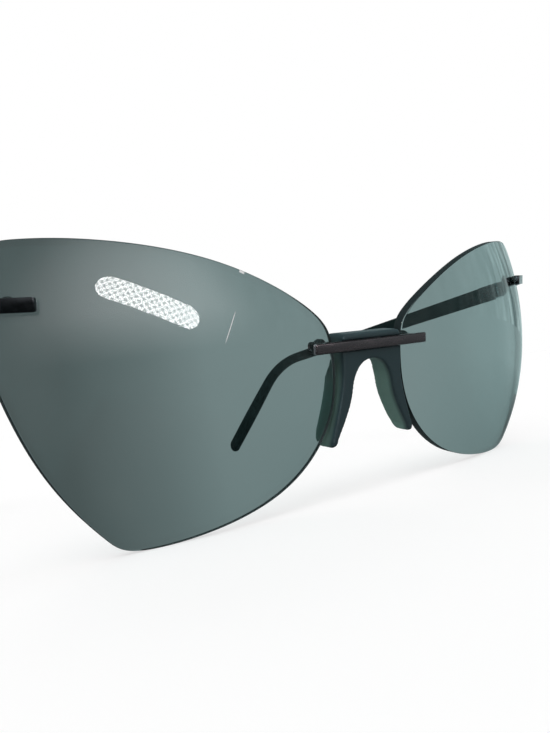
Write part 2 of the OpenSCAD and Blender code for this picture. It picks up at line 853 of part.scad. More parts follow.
// Arm: a flat metal strip that narrows into the core of the tip
module temple_arm() {
    from = leaf_length + slip_gap;
    stations = [
        for (i = [0 : 4]) let (s = from + (sleeve_start - from) * i / 4)
            [s, arm_t, temple_h(s)]
    ];
    difference() {
        union() {
            sweep(stations);
            sweep(core_stations(sleeve_start - cut, core_end, 0));
        }
        translate([
            pin_inset - tang_t / 2 - slip_gap, from - cut, -tang_h / 2 - slip_gap
        ])
            cube([tang_t + 2 * slip_gap, tang_length + cut + slip_gap, tang_h + 2 * slip_gap]);
        rivet_rod(rivet_d + 2 * slip_gap, arm_t);
    }
}

// Tip: a moulded sleeve with a closed pocket for the core
module temple_tip() {
    difference() {
        translate([0, slip_gap, 0]) sweep(sleeve_stations);
        sweep(core_stations(sleeve_start - cut, core_end + slip_gap, slip_gap));
    }
}

tint = [0.44, 0.52, 0.51, 0.7];
gunmetal = [0.30, 0.29, 0.30];
steel = [0.55, 0.56, 0.57];
dark_coat = [0.13, 0.18, 0.18];
clear_plastic = [0.75, 0.78, 0.78, 0.6];

on_table() color(tint) lens();  // left_lens
on_table() on_side(false) color(tint) lens();  // right_lens
on_table() bridge_bar();
on_table() nose_saddle();
on_table() saddle_strap();
on_table() both_sides() color(clear_plastic) bridge_bush();  // bridge_bushes
on_table() both_sides() color(dark_coat) bridge_washer();  // bridge_washers
on_table() both_sides() color(dark_coat) bridge_nut();  // bridge_nuts
on_table() color(gunmetal) endpiece();  // left_endpiece
on_table() on_side(false) color(gunmetal) endpiece();  // right_endpiece
on_table() both_sides() color(clear_plastic) end_bush();  // end_bushes
on_table() both_sides() color(dark_coat) end_nut();  // end_nuts
on_table() both_sides() at_hinge() color(steel) hinge_screw();  // hinge_screws
on_table() both_sides() at_hinge() color(steel) {  // hinge_washers
        hinge_washer(knuckle_h / 2 + seat_gap);
        hinge_washer(-knuckle_h / 2 - seat_gap - hinge_washer_t);
    }
on_table() at_hinge() color(gunmetal) hinge_leaf();  // left_hinge_leaf
on_table() at_hinge() color(steel) hinge_rivet();  // left_hinge_rivet
on_table() at_hinge() color(dark_coat) temple_arm();  // left_temple_arm
on_table() at_hinge() color(dark_coat) temple_tip();  // left_temple_tip
on_table() on_side(false) at_hinge() color(gunmetal) hinge_leaf();  // right_hinge_leaf
on_table() on_side(false) at_hinge() color(steel) hinge_rivet();  // right_hinge_rivet
on_table() on_side(false) at_hinge() color(dark_coat) temple_arm();  // right_temple_arm
on_table() on_side(false) at_hinge() color(dark_coat) temple_tip();  // right_temple_tip
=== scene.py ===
# %% [markdown]
# # Rimless sunglasses
# Two tinted lenses, a metal bar that joins them, a moulded nose saddle and two
# folding temples. The frame that this lesson starts from already holds every
# hard part at its true size, in metres, with the table at zero height. The
# lesson adds smooth glass, rounded edges, finishes, light and a camera.

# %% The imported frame
import math

import bmesh
import bpy
from mathutils import Matrix, Vector


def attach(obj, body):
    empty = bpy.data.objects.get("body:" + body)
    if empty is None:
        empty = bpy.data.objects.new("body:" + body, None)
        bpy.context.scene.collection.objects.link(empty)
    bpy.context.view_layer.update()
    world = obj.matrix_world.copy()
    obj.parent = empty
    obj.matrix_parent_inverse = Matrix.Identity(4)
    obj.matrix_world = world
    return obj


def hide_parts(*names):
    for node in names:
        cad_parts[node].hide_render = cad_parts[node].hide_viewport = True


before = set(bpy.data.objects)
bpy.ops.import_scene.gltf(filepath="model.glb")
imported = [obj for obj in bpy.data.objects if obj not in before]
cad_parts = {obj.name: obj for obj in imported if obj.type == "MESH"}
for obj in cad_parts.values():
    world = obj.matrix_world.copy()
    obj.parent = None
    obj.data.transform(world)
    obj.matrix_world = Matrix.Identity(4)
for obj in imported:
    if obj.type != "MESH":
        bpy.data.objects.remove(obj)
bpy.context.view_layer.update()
scene = bpy.context.scene
print("nodes in the frame:", len(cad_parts))

# %% [markdown]
# The makers of the solids drew them in a frame of their own, the face frame:
# its zero is the middle of the bridge bar, X runs to the wearer's left, Y back
# along the head and Z up, in millimetres. The whole pair then leans forward
# until the rims and the tips stand on the table. One matrix takes any point
# of the face frame there, so that new pieces can be drawn where they are easy.

# %% From the face frame to the table
MM = 0.001
LEAN = math.radians(11.7454)
SHIFT_BACK = -72.4541
LIFT = 28.0386
TO_TABLE = (
    Matrix.Diagonal((MM, MM, MM, 1))
    @ Matrix.Translation((0, SHIFT_BACK, LIFT))
    @ Matrix.Rotation(LEAN, 4, "X")
)
MIRROR = Matrix.Diagonal((-1, 1, 1, 1))
print("middle of the bridge bar:", TO_TABLE @ Vector((0, -1.37, 0)))

# %% [markdown]
# The camera stands close to the right lens, which is cut off by the left side
# of the picture, and looks across the bridge to the left lens. It was found
# with the sizes of the lenses: its place and its axes are in the face frame.

# %% Camera
FOCAL_IN_PIXELS = 646.4
PICTURE_HIGH = 733
SENSOR = 36
camera_data = bpy.data.cameras.new("camera")
camera_data.sensor_width = SENSOR
camera_data.lens = SENSOR * FOCAL_IN_PIXELS / PICTURE_HIGH
camera_data.clip_start = 0.005
camera_data.clip_end = 50
CAMERA_AT = Vector((-84.89, -88.14, 11.50))
LOOK = Vector((0.577, 0.807, -0.125)).normalized()
UP = Vector((0.107, 0.076, 0.991))
RIGHT = LOOK.cross(UP).normalized()
UP = RIGHT.cross(LOOK)
axes = Matrix((RIGHT, UP, -LOOK)).transposed().to_4x4()
camera = bpy.data.objects.new("camera", camera_data)
scene.collection.objects.link(camera)
camera.matrix_world = (
    Matrix.Translation(TO_TABLE @ CAMERA_AT)
    @ Matrix.Rotation(LEAN, 4, "X")
    @ axes
)
scene.camera = camera
scene.view_settings.view_transform = "Standard"
print("camera at", camera.matrix_world.translation)

# %% [markdown]
# A finish is a small tree of nodes. Most finishes here are one Principled
# shader with a fine noise that moves its roughness and its surface a little,
# because no real metal, rubber or plastic is the same all over.

# %% Tools for finishes
BROAD = 12


def tree(name):
    material = bpy.data.materials.new(name)
    material.use_nodes = True
    nodes = material.node_tree.nodes
    return material, nodes, material.node_tree.links, nodes["Principled BSDF"]


def grain(nodes, links, size, stretch=(1, 1, 1), detail=3):
    where = nodes.new("ShaderNodeTexCoord")
    turn = nodes.new("ShaderNodeMapping")
    turn.inputs["Scale"].default_value = stretch
    noise = nodes.new("ShaderNodeTexNoise")
    noise.inputs["Scale"].default_value = 1 / size
    noise.inputs["Detail"].default_value = detail
    links.new(where.outputs["Object"], turn.inputs["Vector"])
    links.new(turn.outputs["Vector"], noise.inputs["Vector"])
    return noise.outputs["Fac"]


def spread(nodes, links, source, low, high, from_low=0.3, from_high=0.7):
    scale = nodes.new("ShaderNodeMapRange")
    scale.inputs["From Min"].default_value = from_low
    scale.inputs["From Max"].default_value = from_high
    scale.inputs["To Min"].default_value = low
    scale.inputs["To Max"].default_value = high
    links.new(source, scale.inputs["Value"])
    return scale.outputs["Result"]


def number(nodes, operation, *values):
    math_node = nodes.new("ShaderNodeMath")
    math_node.operation = operation
    for socket, value in zip(math_node.inputs, values):
        if isinstance(value, (int, float)):
            socket.default_value = value
        else:
            value.id_data.links.new(value, socket)
    return math_node.outputs["Value"]


def blend_colours(nodes, links, factor, first, second):
    mix = nodes.new("ShaderNodeMix")
    mix.data_type = "RGBA"
    mix.inputs["A"].default_value = (*first, 1)
    mix.inputs["B"].default_value = (*second, 1)
    links.new(factor, mix.inputs["Factor"])
    return mix.outputs["Result"]


def relief(nodes, links, height, depth, shader):
    bump = nodes.new("ShaderNodeBump")
    bump.inputs["Strength"].default_value = 0.6
    bump.inputs["Distance"].default_value = depth
    links.new(height, bump.inputs["Height"])
    links.new(bump.outputs["Normal"], shader.inputs["Normal"])


def plain_finish(
    name, first, second, rough, metal=0.0, specular=0.5, size=0.0006,
    stretch=(1, 1, 1), depth=0.000004, coat=0.0,
):
    material, nodes, links, shader = tree(name)
    fine = grain(nodes, links, size, stretch)
    broad = grain(nodes, links, size * BROAD, detail=2)
    links.new(blend_colours(nodes, links, broad, first, second), shader.inputs["Base Color"])
    links.new(spread(nodes, links, fine, *rough), shader.inputs["Roughness"])
    relief(nodes, links, fine, depth, shader)
    shader.inputs["Metallic"].default_value = metal
    shader.inputs["Specular IOR Level"].default_value = specular
    shader.inputs["Coat Weight"].default_value = coat
    shader.inputs["Coat Roughness"].default_value = 0.15
    return material


# %% [markdown]
# Tools for shapes. Every new piece is handed over by one helper, which puts it
# on the table, marks its crisp edges, gives it a finish, tells the frame which
# body it moves with and hides the solid it stands for.

# %% Tools for shapes
CRISP = 35


def hand_over(bm, name, body, finish, stands_for, place=TO_TABLE, crisp=CRISP):
    bmesh.ops.transform(bm, matrix=place, verts=bm.verts)
    bmesh.ops.remove_doubles(bm, verts=bm.verts, dist=1e-7)
    bmesh.ops.recalc_face_normals(bm, faces=bm.faces)
    for face in bm.faces:
        face.smooth = True
    for edge in bm.edges:
        edge.smooth = len(edge.link_faces) == 2 and (
            edge.calc_face_angle(0) < math.radians(crisp)
        )
    mesh = bpy.data.meshes.new(name)
    bm.to_mesh(mesh)
    bm.free()
    mesh.materials.append(finish)
    piece = bpy.data.objects.new(name, mesh)
    scene.collection.objects.link(piece)
    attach(piece, body)
    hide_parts(*stands_for)
    print(name, "has", len(mesh.polygons), "faces")
    return piece


def softened(node, name, body, finish, width, segments=3, front=None):
    """A solid with bevelled edges; front gives a place in Y and the width before it."""
    bm = bmesh.new()
    bm.from_mesh(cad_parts[node].data)
    bmesh.ops.remove_doubles(bm, verts=bm.verts, dist=2e-6)
    bmesh.ops.dissolve_limit(
        bm, angle_limit=math.radians(0.5), verts=bm.verts, edges=bm.edges
    )
    bmesh.ops.recalc_face_normals(bm, faces=bm.faces)
    sharp = [
        e for e in bm.edges
        if len(e.link_faces) == 2 and e.calc_face_angle(0) > math.radians(CRISP)
    ]
    limit, front_width = front or (-math.inf, width)
    ahead = [e for e in sharp if all(v.co.y < limit for v in e.verts)]
    behind = [e for e in sharp if e not in ahead]
    for edges, offset in ((ahead, front_width), (behind, width)):
        edges = [e for e in edges if e.is_valid]
        if edges:
            bmesh.ops.bevel(
                bm, geom=edges, offset=offset, offset_type="OFFSET", affect="EDGES",
                segments=segments, profile=0.5, material=-1, clamp_overlap=True,
            )
    return hand_over(bm, name, body, finish, [node], place=Matrix.Identity(4))


def moulded(node, name, body, finish, voxel, rounds):
    """A solid laid out anew in small even faces, then rubbed smooth."""
    draft = bpy.data.objects.new("draft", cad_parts[node].data.copy())
    scene.collection.objects.link(draft)
    even = draft.modifiers.new("even", "REMESH")
    even.mode = "VOXEL"
    even.voxel_size = voxel
    rub = draft.modifiers.new("rub", "SMOOTH")
    rub.factor = 0.5
    rub.iterations = rounds
    bpy.context.view_layer.update()
    graph = bpy.context.evaluated_depsgraph_get()
    shape = bpy.data.meshes.new_from_object(draft.evaluated_get(graph))
    bpy.data.objects.remove(draft)
    bm = bmesh.new()
    bm.from_mesh(shape)
    return hand_over(
        bm, name, body, finish, [node], place=Matrix.Identity(4), crisp=80
    )


# %% [markdown]
# The rim of a lens and the walls of its holes are ground and not polished.
# Their near-black green is painted shade, for the dark lines that the edges of
# the glass show. Only the left lens has a clear rim, on its side toward the temple.

# %% Ground rim with painted shade
# Painted shade: a near-black green for the ground rims and the hole walls.
ground_rim_painted_shade = plain_finish(
    "ground_rim_painted_shade", (0.024, 0.037, 0.039), (0.014, 0.024, 0.026), (0.45, 0.6),
    specular=0.2, depth=0.000002,
)
print("ground rim:", ground_rim_painted_shade.name)

# %% [markdown]
# A lens is a shell between two spheres with one middle, cut to an outline by a
# tool that moves straight back. Seen from the front the outline is a smooth
# closed curve round twelve corners, given in percent of the lens box.

# %% Lens outline
LENS_NET = [
    (103, 85), (96, 99), (89, 100), (71, 100), (36, 93), (2, 71),
    (0, 61), (-1, 34), (20, 6), (68, -2), (73, 4), (92, 31),
]
LENS_WIDE = 57.5
LENS_HIGH = 49.4
LENS_THICK = 2.0
LENS_FROM = 8.45
LENS_FOOT = -4.8 - LENS_HIGH / 2
SPHERE_MID = Vector((22.5872, 82.0355, -8.29243))
SPHERE_R = 83.4
STEPS = 20


def spline_point(a, b, c, d, t):
    return (
        (1 - t) ** 3 * a + (3 * t ** 3 - 6 * t * t + 4) * b
        + (-3 * t ** 3 + 3 * t * t + 3 * t + 1) * c + t ** 3 * d
    ) / 6


def lens_outline():
    net = [Vector(p) for p in LENS_NET]
    count = len(net)
    raw = [
        spline_point(*(net[(i + k) % count] for k in range(4)), j / STEPS)
        for i in range(count) for j in range(STEPS)
    ]
    low = Vector((min(p.x for p in raw), min(p.y for p in raw)))
    high = Vector((max(p.x for p in raw), max(p.y for p in raw)))
    return [
        Vector((
            LENS_FROM + LENS_WIDE * (p.x - low.x) / (high.x - low.x), 0,
            LENS_FOOT + LENS_HIGH * (p.y - low.y) / (high.y - low.y),
        ))
        for p in raw
    ]


def sphere_y(x, z, radius):
    return SPHERE_MID.y - math.sqrt(
        radius ** 2 - (x - SPHERE_MID.x) ** 2 - (z - SPHERE_MID.z) ** 2
    )


outline = lens_outline()
print("outline points:", len(outline))

# %% [markdown]
# The lens material is a grey-green tint all through the plastic, so the colour
# belongs in the volume: the glass shader itself stays white, and a Volume
# Absorption node takes light away along the real path. Lamps must reach what
# stands behind a lens, so shadow rays pass through a Transparent shader.
# A dull white is mixed in where the lenses are worn: a faint haze of smudges
# on both, and one scratch and one chip at the top rim of the right one.

# %% Tinted glass
TINT = (0.0, 0.283, 0.284)
TINT_DENSITY = 532.0
SMUDGE = 0.03
SMUDGE_SIZE = 0.018
SCRATCH = ((-28.8, 7.8), (-31.6, 2.4), 0.10)
CHIP = ((-27.0, 14.1), (-26.0, 13.6), 0.30)
SOLID_SHARE = 0.4
FADE_SHARE = 0.2
SKIN_FROM, SKIN_TO = -1.2, -0.8


def scratches(nodes, links):
    """Where the front of the right lens is scratched, from none 0 to full 1."""
    where = nodes.new("ShaderNodeTexCoord").outputs["Object"]
    ball = TO_TABLE @ Vector((-SPHERE_MID.x, SPHERE_MID.y, SPHERE_MID.z))
    total = 0.0
    for first, last, wide in (SCRATCH, CHIP):
        begin, end = (
            TO_TABLE @ Vector((x, sphere_y(-x, z, SPHERE_R), z)) for x, z in (first, last)
        )
        along = (end - begin).normalized()
        out = (begin - ball).normalized()
        parts = []
        for axis in (along, out.cross(along).normalized(), out):
            dot = nodes.new("ShaderNodeVectorMath")
            dot.operation = "DOT_PRODUCT"
            dot.inputs[1].default_value = axis
            links.new(where, dot.inputs[0])
            parts.append(
                number(nodes, "SUBTRACT", dot.outputs["Value"], axis.dot(begin))
            )
        run, aside, height = parts
        aside = number(nodes, "ABSOLUTE", aside)
        wide = wide * MM
        long = (end - begin).length
        fade = FADE_SHARE * long
        mask = spread(nodes, links, aside, 1, 0, SOLID_SHARE * wide, wide)
        for part in (
            spread(nodes, links, run, 0, 1, 0, fade),
            spread(nodes, links, run, 1, 0, long - fade, long),
            spread(nodes, links, height, 0, 1, SKIN_FROM * MM, SKIN_TO * MM),
        ):
            mask = number(nodes, "MULTIPLY", mask, part)
        total = number(nodes, "ADD", total, mask)
    return total


def tinted_glass():
    material, nodes, links, shader = tree("tinted_lens")
    shader.inputs["Base Color"].default_value = (1, 1, 1, 1)
    shader.inputs["IOR"].default_value = 1.5
    patches = grain(nodes, links, SMUDGE_SIZE, (1, 1, 0.6))
    haze = spread(nodes, links, patches, 0, SMUDGE, 0.45, 0.8)
    worn = number(nodes, "ADD", scratches(nodes, links), haze)
    shader.inputs["Transmission Weight"].default_value = 1.0
    shader.inputs["Roughness"].default_value = 0.0
    dull = nodes.new("ShaderNodeBsdfDiffuse")
    dull.inputs["Color"].default_value = (1, 1, 1, 1)
    scuffed = nodes.new("ShaderNodeMixShader")
    links.new(worn, scuffed.inputs["Fac"])
    links.new(shader.outputs["BSDF"], scuffed.inputs[1])
    links.new(dull.outputs["BSDF"], scuffed.inputs[2])
    out = nodes["Material Output"]
    inside = nodes.new("ShaderNodeVolumeAbsorption")
    inside.inputs["Color"].default_value = (*TINT, 1)
    inside.inputs["Density"].default_value = TINT_DENSITY
    links.new(inside.outputs["Volume"], out.inputs["Volume"])
    clear = nodes.new("ShaderNodeBsdfTransparent")
    path = nodes.new("ShaderNodeLightPath")
    mix = nodes.new("ShaderNodeMixShader")
    links.new(path.outputs["Is Shadow Ray"], mix.inputs["Fac"])
    links.new(scuffed.outputs["Shader"], mix.inputs[1])
    links.new(clear.outputs["BSDF"], mix.inputs[2])
    links.new(mix.outputs["Shader"], out.inputs["Surface"])
    return material


lens_glass = tinted_glass()
print("tinted glass:", lens_glass.name)

# %% [markdown]
# The mesh starts from the outline: its ring of edges is drawn toward the
# middle in rings, each ring is laid on the front sphere, and a copy is laid on
# the back sphere and bridged at the rim. Two drills then cut the stud holes.

# %% Lens mesh
RIM_BEVEL = 0.16
RINGS = [0.012, 0.03, 0.06, 0.1] + [0.1 + 0.9 * k / 24 for k in range(1, 24)]
BRIDGE_HOLE = (10.8, 0.0)
END_HOLE = (61.75, 10.2)
END_YAW = math.radians(28.7876)
HOLE_R = 0.85
DRILL_LONG = 12
CLEAR_ABOVE = -18.0
FACES_OUT = 0.55
RIM_ANGLE = math.radians(40)
DRAWN_TO = Vector((38, 0, -3))


def drill(x, z, yaw):
    """A rod through the shell where a stud passes, to be cut away."""
    cutter = bmesh.new()
    bmesh.ops.create_cone(
        cutter, cap_ends=True, segments=32, radius1=HOLE_R, radius2=HOLE_R, depth=DRILL_LONG
    )
    place = (
        Matrix.Translation((x, sphere_y(x, z, SPHERE_R) + LENS_THICK / 2, z))
        @ Matrix.Rotation(yaw, 4, "Z") @ Matrix.Rotation(math.radians(90), 4, "X")
    )
    bmesh.ops.transform(cutter, matrix=place, verts=cutter.verts)
    mesh = bpy.data.meshes.new("drill")
    cutter.to_mesh(mesh)
    cutter.free()
    return mesh


def lens_shell(polished):
    bm = bmesh.new()
    corners = [bm.verts.new(p) for p in outline]
    ring = [
        bm.edges.new((a, b)) for a, b in zip(corners, corners[1:] + corners[:1])
    ]
    shrink = 1.0
    for inward in RINGS:
        grown = bmesh.ops.extrude_edge_only(bm, edges=ring)["geom"]
        verts = [g for g in grown if isinstance(g, bmesh.types.BMVert)]
        bmesh.ops.scale(
            bm, vec=[(1 - inward) / shrink] * 3, verts=verts,
            space=Matrix.Translation(-DRAWN_TO),
        )
        shrink = 1 - inward
        new = set(verts)
        ring = [
            g for g in grown if isinstance(g, bmesh.types.BMEdge)
            and g.verts[0] in new and g.verts[1] in new
        ]
    bmesh.ops.contextual_create(bm, geom=ring)
    bmesh.ops.poke(bm, faces=[f for f in bm.faces if len(f.verts) > 4])
    front = list(bm.verts)
    copy = bmesh.ops.duplicate(bm, geom=list(bm.verts) + list(bm.edges) + list(bm.faces))
    back = [g for g in copy["geom"] if isinstance(g, bmesh.types.BMVert)]
    for verts, radius in ((front, SPHERE_R), (back, SPHERE_R - LENS_THICK)):
        for v in verts:
            v.co.y = sphere_y(v.co.x, v.co.z, radius)
    rim = [e for e in bm.edges if len(e.link_faces) == 1]
    walls = bmesh.ops.bridge_loops(bm, edges=rim)["faces"]
    bmesh.ops.recalc_face_normals(bm, faces=bm.faces)
    for face in walls:
        side_wall = face.normal.x > FACES_OUT and face.calc_center_median().z > CLEAR_ABOVE
        face.material_index = 0 if polished and side_wall else 1
    edges = [
        e for e in bm.edges if len(e.link_faces) == 2
        and e.calc_face_angle(0) > RIM_ANGLE
    ]
    bmesh.ops.bevel(
        bm, geom=edges, offset=RIM_BEVEL, offset_type="OFFSET", affect="EDGES",
        segments=3, profile=0.5, material=-1, clamp_overlap=True,
    )
    return bm


def make_lens(side, place, polished=False):
    piece = hand_over(
        lens_shell(polished), f"lens_{side}", "front", lens_glass,
        [f"{side}_lens"], place=place, crisp=20,
    )
    piece.data.materials.append(ground_rim_painted_shade)
    tool = bpy.data.objects.new("drills", bpy.data.meshes.new("drills"))
    holes = bmesh.new()
    for x, z, yaw in ((*BRIDGE_HOLE, 0.0), (*END_HOLE, END_YAW)):
        holes.from_mesh(drill(x, z, yaw))
    bmesh.ops.transform(holes, matrix=place, verts=holes.verts)
    bmesh.ops.recalc_face_normals(holes, faces=holes.faces)
    # The hole walls get the painted shade of the rim too.
    for face in holes.faces:
        face.material_index = 1
    holes.to_mesh(tool.data)
    holes.free()
    scene.collection.objects.link(tool)
    cut = piece.modifiers.new("holes", "BOOLEAN")
    cut.operation = "DIFFERENCE"
    cut.solver = "EXACT"
    cut.object = tool
    bpy.context.view_layer.update()
    shape = bpy.data.meshes.new_from_object(
        piece.evaluated_get(bpy.context.evaluated_depsgraph_get())
    )
    piece.modifiers.clear()
    piece.data = shape
    bpy.data.objects.remove(tool)
    print(piece.name, "drilled:", len(shape.polygons), "faces")
    return piece


make_lens("left", TO_TABLE, polished=True)
make_lens("right", TO_TABLE @ MIRROR)

# %% [markdown]
# The metals. The bridge bar is a warm gunmetal, brushed along its length, and
# the endpieces are a darker copy of it, which is painted shade for the dark
# reflection on their fronts. The hinge leaves are a bare metal painted darker
# than the bar, as shade for the gap of the hinge. The screws and washers of the
# hinges are steel. The strap, the nuts and the washers behind the lenses are
# almost black.

# %% Metals
gunmetal = plain_finish(
    "gunmetal", (0.345, 0.275, 0.295), (0.265, 0.212, 0.228), (0.20, 0.32), metal=1.0,
    stretch=(0.15, 1, 1), depth=0.000002,
)
# Painted shade: the endpieces get a darker copy of the gunmetal, for the dark reflection on
# their fronts.
gunmetal_painted_shade = plain_finish(
    "gunmetal_painted_shade", (0.090, 0.094, 0.104), (0.060, 0.064, 0.070), (0.16, 0.26),
    metal=1.0, depth=0.000001,
)
# Painted shade: the leaves are darker than the bar, for the shade in the gap of the hinge.
leaf_metal_painted_shade = plain_finish(
    "leaf_metal_painted_shade", (0.22, 0.20, 0.215), (0.15, 0.14, 0.15), (0.22, 0.36), metal=1.0,
)
satin_steel = plain_finish(
    "satin_steel", (0.60, 0.60, 0.61), (0.50, 0.50, 0.51), (0.22, 0.34), metal=1.0,
)
dark_nut = plain_finish(
    "dark_nut", (0.010, 0.012, 0.012), (0.006, 0.008, 0.008), (0.2, 0.35), specular=0.3,
)
dark_washer = plain_finish(
    "dark_washer", (0.035, 0.050, 0.048), (0.022, 0.034, 0.033), (0.35, 0.5), specular=0.3,
)
print("metals made")

# %% [markdown]
# The temples and their rivets are coated almost black with a hint of green, and
# the tips wear a sleeve of the same colour with a softer gloss. The bushes in
# the lens holes are smoky and let a little light through.

# %% Coats
dark_coat = plain_finish(
    "dark_coat", (0.009, 0.022, 0.022), (0.005, 0.014, 0.014), (0.32, 0.48),
    specular=0.15, depth=0.000003,
)
tip_rubber = plain_finish(
    "tip_rubber", (0.005, 0.015, 0.015), (0.003, 0.010, 0.010), (0.38, 0.55),
    specular=0.15, depth=0.000005,
)
clear_bush = plain_finish(
    "clear_bush", (0.10, 0.12, 0.12), (0.07, 0.09, 0.09), (0.2, 0.35), specular=0.3,
)
bush_shader = clear_bush.node_tree.nodes["Principled BSDF"]
bush_shader.inputs["Transmission Weight"].default_value = 0.3
print("coats made")

# %% [markdown]
# The nose saddle is moulded from a slightly see-through grey-green plastic.
# From the front it looks slate; deeper in, and down at the pads, light comes
# through and it turns green. That light is painted into the colour, which turns
# from slate to a lighter green by depth and height.

# %% Saddle finish
SADDLE_FRONT = -1.14
DEEP_FROM, DEEP_FULL = 0.0004, 0.0018
LOW_FROM, LOW_FULL = 0.030, 0.022
SLATE = (0.036, 0.062, 0.070)
PAINTED_LIT_GREEN = (0.165, 0.290, 0.250)


def saddle_finish():
    material, nodes, links, shader = tree("soft_saddle")
    where = nodes.new("ShaderNodeTexCoord")
    split = nodes.new("ShaderNodeSeparateXYZ")
    links.new(where.outputs["Object"], split.inputs["Vector"])
    depth = nodes.new("ShaderNodeVectorMath")
    depth.operation = "DOT_PRODUCT"
    links.new(where.outputs["Object"], depth.inputs[0])
    backward = Vector((0, math.cos(LEAN), math.sin(LEAN)))
    depth.inputs[1].default_value = backward
    front = backward.dot(TO_TABLE @ Vector((0, SADDLE_FRONT, 0)))
    deep = spread(
        nodes, links, depth.outputs["Value"], 0, 1, front + DEEP_FROM, front + DEEP_FULL
    )
    low = spread(nodes, links, split.outputs["Z"], 0, 1, LOW_FROM, LOW_FULL)
    # Painted light: the share of light that comes through, painted as the lighter green.
    painted_light_share = number(nodes, "MULTIPLY", deep, low)
    links.new(blend_colours(nodes, links, painted_light_share, SLATE, PAINTED_LIT_GREEN), shader.inputs["Base Color"])
    fine = grain(nodes, links, 0.0005)
    links.new(spread(nodes, links, fine, 0.38, 0.5), shader.inputs["Roughness"])
    relief(nodes, links, fine, 0.000004, shader)
    shader.inputs["Specular IOR Level"].default_value = 0.25
    shader.inputs["Subsurface Weight"].default_value = 0.2
    shader.inputs["Subsurface Radius"].default_value = (0.5, 1.0, 0.9)
    shader.inputs["Subsurface Scale"].default_value = 0.001
    return material


soft_saddle = saddle_finish()
print("saddle finish made")

# %% [markdown]
# The saddle, the bar and the small fittings have the right shape already. The
# real ones have softened edges that catch the light, so a copy of each solid
# is welded, its flat faces are joined and its crisp edges are bevelled. The
# saddle is moulded all round, so its copy is laid out anew and rubbed smooth.

# %% Bridge
BAR_EDGE = 0.00028
STRAP_EDGE = 0.00008
moulded(
    "nose_saddle", "saddle", "front", soft_saddle, voxel=0.00017, rounds=16
)
softened("bridge_bar", "bar", "front", gunmetal, BAR_EDGE, 4)
softened("saddle_strap", "strap", "front", dark_washer, STRAP_EDGE)

# %% [markdown]
# Each lens is held by two studs. A bush lines its hole, and a nut closes it from
# behind, with a washer under the nut at the bridge. These are small turned
# parts, so a fine bevel in two steps is all the softening that can be seen.

# %% Studs and their fittings
SMALL = 0.00006
softened("bridge_bushes", "bushes_bridge", "front", clear_bush, SMALL, 2)
softened("bridge_washers", "washers_bridge", "front", dark_washer, SMALL, 2)
softened("bridge_nuts", "nuts_bridge", "front", dark_nut, SMALL, 2)
softened("end_bushes", "bushes_end", "front", clear_bush, SMALL, 2)
softened("end_nuts", "nuts_end", "front", dark_nut, SMALL, 2)

# %% [markdown]
# An endpiece is a metal bar that wraps round the edge of its lens and runs back
# to the hinge. Its front part has soft edges like the bridge bar, and the
# knuckles behind it are crisp, so one bevel is wide and the other narrow. The
# narrow one takes no hold on the right endpiece, whose knuckles stay square.
# The hinge leaf and the rivet that holds the arm to it swing with the temple.

# %% Endpieces and hinges
KNUCKLE_EDGE = 0.00010
LEAF_EDGE = 0.00012
SCREW_EDGE = 0.00005
WASHER_EDGE = 0.00003
FRONT_PART = (-0.0614, 0.00036)
for side in ("left", "right"):
    softened(
        f"{side}_endpiece", f"endpiece_{side}", "front",
        gunmetal_painted_shade, KNUCKLE_EDGE, segments=4, front=FRONT_PART,
    )
    softened(
        f"{side}_hinge_leaf", f"leaf_{side}", f"{side}_temple", leaf_metal_painted_shade,
        LEAF_EDGE,
    )
    softened(
        f"{side}_hinge_rivet", f"rivet_{side}", f"{side}_temple",
        dark_coat, SMALL, 2,
    )
softened("hinge_screws", "screws", "front", satin_steel, SCREW_EDGE, 2)
softened("hinge_washers", "washers_hinge", "front", satin_steel, WASHER_EDGE, 1)

# %% [markdown]
# A temple is a long strip that bends down behind the ear. Its path is straight,
# then an arc, then straight again. The coated arm is thin, and a thicker sleeve
# covers its second half. Both sizes are functions of the way along the path, so
# that the arm and the sleeve share one path and can't drift apart.

# %% Temple path
HINGE = Vector((66.4316, 18.7789, 7.58367))
SLOPE = math.radians(16)
INWARD = math.radians(5.7)
AT_HINGE = (
    Matrix.Translation(HINGE)
    @ Matrix.Rotation(-SLOPE, 4, "X")
    @ Matrix.Rotation(INWARD, 4, "Z")
)
PIN_INSET = 0.4
TEMPLE_LONG = 141.0
BEND_R = 34.0
DROP = math.radians(36)
BEND_CORNER = 92.9
BEND_START = BEND_CORNER - BEND_R * math.tan(DROP / 2)
BEND_END = BEND_START + BEND_R * DROP
SLEEVE_LONG = 68
SLEEVE_WALL = 0.4
SLEEVE_START = TEMPLE_LONG - SLEEVE_LONG
ARM_START = 5.65
ARM_HIGH, NECK_HIGH, TIP_HIGH = 4.2, 3.3, 5.0
ARM_THICK, TIP_THICK = 1.3, 2.3
TIP_GROWTH = 1.35


def ease(t):
    t = max(0.0, min(1.0, t))
    return t * t * (3 - 2 * t)


def temple_high(s):
    if s < BEND_START:
        return ARM_HIGH + (NECK_HIGH - ARM_HIGH) * s / BEND_START
    share = (s - BEND_START) / (TEMPLE_LONG - BEND_START) * TIP_GROWTH
    return NECK_HIGH + (TIP_HIGH - NECK_HIGH) * ease(share)


def sleeve_thick(s):
    share = (s - SLEEVE_START) / (BEND_START - SLEEVE_START)
    start = ARM_THICK + SLEEVE_WALL
    return start + (TIP_THICK - start) * ease(share)


def station(s, thick, high):
    turn = 0.0 if s < BEND_START else min(DROP, (s - BEND_START) / BEND_R)
    run = max(0.0, s - BEND_END)
    y = min(s, BEND_START) + BEND_R * math.sin(turn) + run * math.cos(DROP)
    z = -BEND_R * (1 - math.cos(turn)) - run * math.sin(DROP)
    return (
        Matrix.Translation((PIN_INSET, y, z))
        @ Matrix.Rotation(-turn, 4, "X")
        @ Matrix.Diagonal((thick, 1, high, 1))
    )


